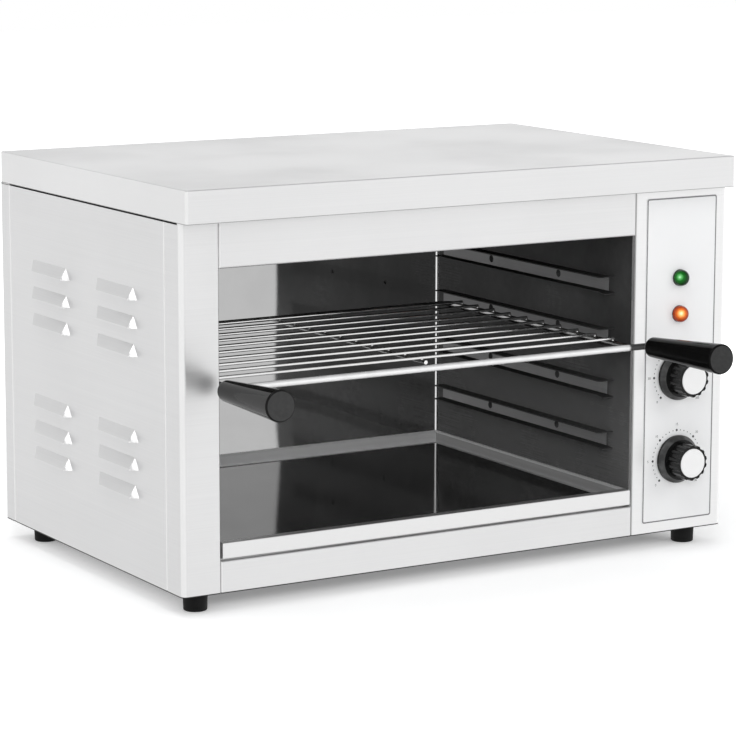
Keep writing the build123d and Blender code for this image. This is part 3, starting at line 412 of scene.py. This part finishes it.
def knob_plastic():
    """Satin skirts, painted a little paler, painted light, under glossy black fluted grips."""
    skirt_dulling = 0.2
    look = Surface("knob_black", Specular_IOR_Level=0.22)
    forward = look.normal_parts()[Y]
    skirt = look.product(look.span(forward, -0.2, -0.35), look.span(forward, -0.8, -0.65))
    knob_speckle = look.noise(120.0, 3.0)
    fluted = look.mix(look.span(knob_speckle, 0.35, 0.75), grey(0.006), grey(0.014))
    # The skirts' paler tone is painted light
    satin = look.mix(look.span(knob_speckle, 0.35, 0.75), grey(0.035), grey(0.10))
    look.give("Base Color", look.mix(skirt, fluted, satin))
    gloss = look.span(knob_speckle, *NOISE_RANGE, 0.16, 0.24)
    look.give("Roughness", look.total(gloss, look.product(skirt, skirt_dulling)))
    look.give("Normal", look.bump(look.noise(900.0, 4.0), 0.05, MOULDED_DEPTH))
    return look.material


def spun_disc(name, axes):
    """Bright turned faces: fine circles about each knob's axis."""
    rings_per_metre = 4000.0
    look = Surface(name, Metallic=0.7)
    first, second = (look.distance((axis.x, 0.0, axis.z), (1.0, 0.0, 1.0)) for axis in axes)
    radius = look.math("MINIMUM", first, second)
    wave = look.math("SINE", look.product(radius, rings_per_metre))
    rings = look.total(look.product(wave, 0.5), 0.5)
    cloud = look.noise(160.0, 4.0)
    tone = look.total(look.product(rings, 0.5), look.product(cloud, 0.5))
    look.give("Base Color", look.mix(tone, grey(0.86), grey(0.93)))
    look.give("Roughness", look.span(tone, 0.0, 1.0, 0.28, 0.36))
    look.give("Normal", look.bump(rings, 0.03, FINE_DEPTH))
    return look.material


def film():
    """Printed polyester film: pale, very finely textured, a little glossy."""
    look = Surface("label_film", Coat_Weight=0.15, Coat_Roughness=0.2)
    cloud = look.noise(25.0, 3.0)
    look.give("Base Color", look.mix(cloud, tint(0.87, 0.87, 0.875), tint(0.91, 0.91, 0.912)))
    tooth = look.noise(2600.0, 2.0)
    look.give("Roughness", look.span(tooth, *NOISE_RANGE, 0.36, 0.48))
    look.give("Normal", look.bump(tooth, 0.05, FINE_DEPTH))
    return look.material


def lens(name, node, lit, stops, glow):
    """Domed lens over a glowing pilot lamp; its brightest spot, on the side lit points to, is a
    painted highlight, and its deepening towards the rim painted shade.
    """
    reach, unevenness = 1.5, 0.10
    look = Surface(name, Roughness=0.10, Specular_IOR_Level=0.2, Emission_Strength=glow)
    low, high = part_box(node)
    radius = (high.x - low.x) / 2
    centre = Vector(((low.x + high.x) / 2, low.y + radius, (low.z + high.z) / 2))
    brightest = centre + Vector(lit).normalized() * radius
    facets = look.noise(700.0, 2.0)
    away = look.span(look.distance(brightest), 0.0, reach * radius, smooth=False)
    stirred = look.total(away, look.product(look.less(facets, 0.5), unevenness))
    colour = look.ramp(stirred, stops)
    look.give("Base Color", colour)
    look.give("Emission Color", colour)
    look.give("Normal", look.bump(facets, 0.03, MOULDED_DEPTH))
    return look.material


def mottled(name, low, high, scale, rough, spread, bump, metallic=0.0, shine=0.5):
    """Plain moulded, rubber, ceramic or drawn surface, mottled in tone and finely textured."""
    look = Surface(name, Metallic=metallic, Specular_IOR_Level=shine)
    cloud = look.noise(scale, 5.0, 0.6)
    look.give("Base Color", look.mix(look.span(cloud, *NOISE_RANGE), low, high))
    look.give("Roughness", look.span(cloud, *NOISE_RANGE, rough - spread, rough + spread))
    look.give("Normal", look.bump(look.noise(scale * 9, 3.0), bump, MOULDED_DEPTH))
    return look.material


def middle(node):
    low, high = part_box(node)
    return (low + high) / 2


timer_axis = middle("timer_knob")
thermostat_axis = middle("thermostat_knob")
green_stops = (
    (0.0, tint(0.55, 0.95, 0.57)),
    (0.15, tint(0.11, 0.50, 0.13)),
    (0.32, tint(0.006, 0.15, 0.011)),
    (0.60, tint(0.001, 0.038, 0.003)),
    (1.0, tint(0.001, 0.012, 0.002)),
)
amber_stops = (
    (0.0, tint(1.0, 0.93, 0.66)),
    (0.17, tint(1.0, 0.58, 0.18)),
    (0.36, tint(0.72, 0.15, 0.020)),
    (0.60, tint(0.31, 0.034, 0.005)),
    (1.0, tint(0.14, 0.012, 0.002)),
)
# Where on each lens its painted highlight lies
green_lit, amber_lit = (-0.72, -0.66, 0.22), (-0.52, -0.83, 0.18)
by_slot = {
    "casing_steel": casing_steel,
    "pan_steel": pan_steel,
    # The side walls' very dark tones are painted shade for the inside of the chamber, paler towards
    # the bottom
    "chamber_steel": mirror_sheet(
        "chamber_side_painted_shade", 0.05, 0.12, 0.20, wave=0.08, foot=0.16, metallic=0.2, shine=0.15
    ),
    "runner_steel": runner_steel,
    "tray_steel": tray_sheet(),
    "wire_steel": plated_wire("wire_steel", 1.0),
    "grip_black": grip_plastic("grip_black", 0.07, 0.13),
    "knob_black": knob_plastic(),
    "knob_silver": spun_disc("knob_silver", (timer_axis, thermostat_axis)),
    "label_film": film(),
    "lens_green": lens("lens_green", "green_lamp_lens", green_lit, green_stops, 0.15),
    "lens_amber": lens("lens_amber", "amber_lamp_lens", amber_lit, amber_stops, 0.30),
}
# Plain finishes: both tones, scale of the mottling, roughness, its spread, height, metal and shine
for slot_name, *finish in (
    ("lamp_black", grey(0.02), grey(0.05), 200.0, 0.4, 0.06, 0.1),
    ("foot_rubber", grey(0.004), grey(0.012), 120.0, 0.6, 0.1, 0.25, 0.0, 0.15),
    ("screw_steel", grey(0.62), grey(0.78), 300.0, 0.28, 0.08, 0.06, 1.0),
    ("element_steel", tint(0.16, 0.14, 0.12), tint(0.30, 0.28, 0.27), 40.0, 0.42, 0.1, 0.1, 1.0),
    ("bush_ceramic", tint(0.74, 0.71, 0.65), tint(0.85, 0.83, 0.79), 150.0, 0.7, 0.08, 0.15),
    ("switch_plastic", tint(0.66, 0.63, 0.56), tint(0.74, 0.72, 0.66), 90.0, 0.45, 0.06, 0.08),
    ("bulb_copper", tint(0.60, 0.30, 0.18), tint(0.80, 0.48, 0.33), 110.0, 0.3, 0.08, 0.06, 1.0),
    ("gland_black", grey(0.012), grey(0.03), 180.0, 0.42, 0.06, 0.12),
    ("wire_sleeve", tint(0.55, 0.52, 0.44), tint(0.72, 0.70, 0.63), 500.0, 0.75, 0.08, 0.3),
):
    by_slot[slot_name] = mottled(slot_name, *finish)
by_node = {
    "control_panel": panel_steel_lit,
    "top_cover": cover_steel,
    "rack_front_bar": plated_wire("bar_steel", 0.55, neck=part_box("rack_right_grip")[0].x),
    "rack_left_grip": grip_plastic("grip_gloss", 0.16, 0.06),
    # The back wall's bends at its sides are painted bright, a painted highlight
    "chamber_back_wall": mirror_sheet("chamber_back", 0.46, 0.52, 0.025, wave=0.55, corner=0.9),
    "chamber_floor": mirror_sheet("chamber_floor", 0.90, 0.95, 0.03, wave=0.05),
    "runner_rivets": mottled(
        "rivet_grey", grey(0.07), grey(0.12), 300.0, 0.6, 0.1, 0.1, shine=0.1
    ),
}
for entry in frame["record"]["subparts"]:
    piece = nodes[entry["node"]]
    piece.data.materials.clear()
    piece.data.materials.append(by_node.get(entry["node"], by_slot[entry["material_slot"]]))

# Wires, runners, rivets and tray stay out of the chamber's mirrors, so that these read as clear
for name, piece in nodes.items():
    hidden = "_runner_" in name or name in ("drip_tray", "runner_rivets")
    if hidden or name.startswith("rack_") and name != "rack_left_grip":
        piece.visible_glossy = False


# Details added over the solids
def add_piece(name, build, material, body):
    """Makes a finished bmesh a new piece of the object, riding on a body."""
    mesh = bpy.data.meshes.new(name)
    build.to_mesh(mesh)
    build.free()
    mesh.materials.append(material)
    piece = bpy.data.objects.new(name, mesh)
    scene.collection.objects.link(piece)
    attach(piece, body)
    return piece


label_low, label_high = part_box("control_label")
ink_thickness = 0.04 * MM


def on_label(x, z):
    return Vector((x, label_low.y - ink_thickness, z))


def print_spot(build, x, z, radius, sides=20):
    """A printed spot that faces the user."""
    turns = (2 * math.pi * index / sides for index in range(sides))
    build.faces.new([
        build.verts.new(on_label(x + radius * math.cos(turn), z + radius * math.sin(turn)))
        for turn in turns
    ])


def print_number(build, number, x, z, size):
    """A small printed number that faces the user."""
    font = bpy.data.curves.new("number", "FONT")
    font.body = str(number)
    font.size = size
    font.align_x = "CENTER"
    font.align_y = "CENTER"
    written = bpy.data.objects.new("number", font)
    scene.collection.objects.link(written)
    bpy.context.view_layer.update()
    drawn = written.evaluated_get(bpy.context.evaluated_depsgraph_get())
    flat = bpy.data.meshes.new_from_object(drawn)
    upright = Matrix.Rotation(math.radians(90), 4, "X")
    flat.transform(Matrix.Translation(on_label(x, z)) @ upright)
    build.from_mesh(flat)
    bpy.data.objects.remove(written)
    bpy.data.curves.remove(font)
    bpy.data.meshes.remove(flat)


def label_outline(inset, corner, steps=6):
    """Points round the label's edge, drawn in by an inset."""
    points = []
    left, right = label_low.x + inset + corner, label_high.x - inset - corner
    bottom, top = label_low.z + inset + corner, label_high.z - inset - corner
    for turn, (x, z) in enumerate(((right, top), (left, top), (left, bottom), (right, bottom))):
        for step in range(steps + 1):
            angle = math.radians(90 * (turn + step / steps))
            points.append(on_label(x + corner * math.cos(angle), z + corner * math.sin(angle)))
    return points


ink_finish = (0.5, 0.08, 0.05)
ink = mottled("label_ink", tint(0.012, 0.012, 0.014), tint(0.035, 0.035, 0.038), 900.0, *ink_finish)
edge_shade_ink = mottled(
    "label_edge_shade", tint(0.17, 0.17, 0.175), tint(0.23, 0.23, 0.235), 700.0, *ink_finish
)

# Scales round the knobs: a dot for each step, a larger one and a number at every fifth
dial_radius = 22.5 * MM
number_radius = dial_radius + 4.6 * MM
number_size = 2.6 * MM
small_dot, large_dot = 0.42 * MM, 0.95 * MM
dial_start, dial_step, dial_marks, marks_per_number = -135, 9, 31, 5
dial = bmesh.new()
for axis, value_step in ((timer_axis, 5), (thermostat_axis, 50)):
    for mark in range(dial_marks):
        angle = math.radians(dial_start + dial_step * mark)
        right, up = math.sin(angle), math.cos(angle)
        numbered = mark % marks_per_number == 0
        dot = large_dot if numbered else small_dot
        print_spot(dial, axis.x + dial_radius * right, axis.z + dial_radius * up, dot)
        if numbered:
            number = mark // marks_per_number * value_step
            x, z = axis.x + number_radius * right, axis.z + number_radius * up
            print_number(dial, number, x, z, number_size)
add_piece("dial_print", dial, ink, "casing")

# A grey line just inside the label's edge is painted shadow, standing for the gap round the label
border = bmesh.new()
outer = [border.verts.new(point) for point in label_outline(0.2 * MM, 1.8 * MM)]
inner = [border.verts.new(point) for point in label_outline(1.2 * MM, 1.1 * MM)]
for index in range(len(outer)):
    border.faces.new((outer[index - 1], outer[index], inner[index], inner[index - 1]))
add_piece("label_edge_shadow_line", border, edge_shade_ink, "casing")

# Weld nuggets where the rack's wires cross
cross_low, cross_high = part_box("rack_cross_wires")
side_low, side_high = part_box("rack_side_frame")
cross_radius = (cross_high.z - cross_low.z) / 2
side_radius = (side_high.z - side_low.z) / 2
cross_count = 10
cross_pitch = (cross_high.y - cross_low.y - 2 * cross_radius) / (cross_count - 1)
weld_x = (side_low.x + side_radius, (side_low.x + side_high.x) / 2, side_high.x - side_radius)
weld_radii = Vector((1.4, 1.45, 1.05)) * MM
weld = bmesh.new()
for index in range(cross_count):
    y = cross_low.y + cross_radius + index * cross_pitch
    for x in weld_x:
        uneven = 1.0 + 0.12 * math.sin(7.3 * index + 90.0 * x)
        radii = weld_radii * Vector((uneven, 1.0, uneven))
        nugget = bmesh.ops.create_icosphere(weld, subdivisions=2, radius=1.0)
        for vertex in nugget["verts"]:
            vertex.co = Vector((x, y, cross_low.z)) + vertex.co * radii
for face in weld.faces:
    face.smooth = True
welds = add_piece("rack_welds", weld, by_slot["wire_steel"], "rack")
welds.visible_glossy = False

# Light: a white room for the camera, soft for matt surfaces, and for reflections one that darkens
# overhead and brightens to the right
soft_light, soft_tint = 0.55, tint(0.98, 0.99, 1.0)
room_tones = (
    (0.0, 0.55),
    (0.275, 0.86),
    (0.38, 0.94),
    (0.45, 1.0),
    (0.55, 1.0),
    (0.60, 0.97),
    (0.70, 0.88),
    (0.775, 0.60),
    (0.90, 0.36),
)
world = bpy.data.worlds.new("studio")
scene.world = world
room = Tree(world)
direction = room.parts(room.add("ShaderNodeTexCoord").outputs["Generated"])
from_below = room.math("MULTIPLY_ADD", direction[Z], 0.5, 0.5)
left_loss = room.span(direction[X], 0.1, -0.3, 0.0, 0.10)
right_gain = room.span(direction[X], 0.42, 0.68, 1.0, 1.10)
soft = room.add("ShaderNodeBackground")
soft.inputs["Color"].default_value = soft_tint
soft.inputs["Strength"].default_value = soft_light
reflected = room.add("ShaderNodeBackground")
tones_by_height = [(position, grey(tone)) for position, tone in room_tones]
room.link(room.ramp(from_below, tones_by_height), reflected.inputs["Color"])
room.link(room.less(right_gain, left_loss), reflected.inputs["Strength"])
white = room.add("ShaderNodeBackground")
white.inputs["Color"].default_value = grey(1.0)
ray = room.add("ShaderNodeLightPath").outputs
shown = soft
for is_ray, background in (
    (room.math("MAXIMUM", ray["Is Glossy Ray"], ray["Is Transmission Ray"]), reflected),
    (ray["Is Camera Ray"], white),
):
    choice = room.add("ShaderNodeMixShader")
    room.link(is_ray, choice.inputs[0])
    room.link(shown.outputs[0], choice.inputs[1])
    room.link(background.outputs[0], choice.inputs[2])
    shown = choice
room.link(shown.outputs[0], room.add("ShaderNodeOutputWorld").inputs[0])

# Softboxes: place, what they face, width, height, watts and whether reflections show them
for name, place, target, width, height, watts, reflects in (
    ("key", (1.7, -1.9, 1.5), (0.0, 0.0, 0.15), 1.4, 1.4, 14.0, False),
    ("front_left", (-1.3, -2.3, 1.1), (0.0, 0.0, 0.15), 0.9, 0.6, 14.0, False),
    ("overhead", (-0.2, 0.3, 2.4), (0.0, 0.0, 0.2), 1.8, 1.8, 14.0, False),
    ("left_fill", (-2.0, 0.2, 1.8), (0.0, 0.0, 0.15), 1.3, 1.1, 5.0, False),
    ("upper_left", (-1.0, -1.25, 2.2), (-0.2, 0.0, 0.15), 0.9, 0.9, 9.0, True),
):
    light = bpy.data.lights.new(name, "AREA")
    light.shape = "RECTANGLE"
    light.size = width
    light.size_y = height
    light.energy = watts
    lamp = bpy.data.objects.new(name, light)
    scene.collection.objects.link(lamp)
    lamp.location = place
    aim = Vector(target) - Vector(place)
    lamp.rotation_euler = aim.to_track_quat("-Z", "Y").to_euler()
    lamp.visible_glossy = reflects

# Floor: pale, white to the camera except where the grill shades it; under the grill its brightening
# is left off, a painted shadow
floor_half = 6.0
floor_drop = 0.2 * MM
floor_tone = 0.9
near_lift, far_lift = 0.28, 0.72
near_edge, far_edge = 0.35, 1.1
shade_from, shade_to = -45 * MM, -5 * MM
floor_mesh = bpy.data.meshes.new("floor")
floor_corners = [
    (floor_half * x, floor_half * y, 0.0) for x, y in ((-1, -1), (1, -1), (1, 1), (-1, 1))
]
floor_mesh.from_pydata(floor_corners, [], [(0, 1, 2, 3)])
floor = bpy.data.objects.new("floor", floor_mesh)
scene.collection.objects.link(floor)
floor.location.z = -floor_drop
floor.visible_glossy = False
floor_look = bpy.data.materials.new("floor")
paper = Tree(floor_look)
matt = paper.add("ShaderNodeBsdfDiffuse")
matt.inputs["Color"].default_value = grey(floor_tone)
pan_low, pan_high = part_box("base_pan")
place = paper.place_parts()
past_x = paper.less(paper.size(place[X]), pan_high.x)
from_middle = paper.less(place[Y], (pan_low.y + pan_high.y) / 2)
past_y = paper.less(paper.size(from_middle), (pan_high.y - pan_low.y) / 2)
outside = paper.span(paper.math("MAXIMUM", past_x, past_y), shade_from, shade_to)
near = paper.product(outside, near_lift)
far = paper.span(paper.distance((0.0, 0.0, 0.0)), near_edge, far_edge, 0.0, far_lift)
by_camera = paper.add("ShaderNodeLightPath").outputs["Is Camera Ray"]
lift = paper.add("ShaderNodeEmission")
paper.link(paper.product(paper.total(near, far), by_camera), lift.inputs["Strength"])
both = paper.add("ShaderNodeAddShader")
paper.link(matt.outputs[0], both.inputs[0])
paper.link(lift.outputs[0], both.inputs[1])
paper.link(both.outputs[0], paper.add("ShaderNodeOutputMaterial").inputs[0])
floor_mesh.materials.append(floor_look)

# Camera at the photograph's angle
camera_place = Vector((-1.19387, -1.96993, 0.54619))
yaw, pitch, roll = math.radians(30.758), math.radians(9.901), math.radians(0.0845)
camera_data = bpy.data.cameras.new("camera")
camera_data.sensor_width = 36.0
camera_data.sensor_fit = "HORIZONTAL"
camera_data.lens = 148.48
camera_data.clip_end = 50.0
camera = bpy.data.objects.new("camera", camera_data)
scene.collection.objects.link(camera)
scene.camera = camera
level = Vector((math.cos(yaw), -math.sin(yaw), 0.0))
onward = Vector((math.sin(yaw), math.cos(yaw), 0.0))
ahead = onward * math.cos(pitch) - Vector((0.0, 0.0, math.sin(pitch)))
right = level * math.cos(roll) + level.cross(ahead) * math.sin(roll)
axes = Matrix((right, right.cross(ahead), -ahead)).transposed()
camera.matrix_world = Matrix.Translation(camera_place) @ axes.to_4x4()

scene.view_settings.view_transform = "Standard"
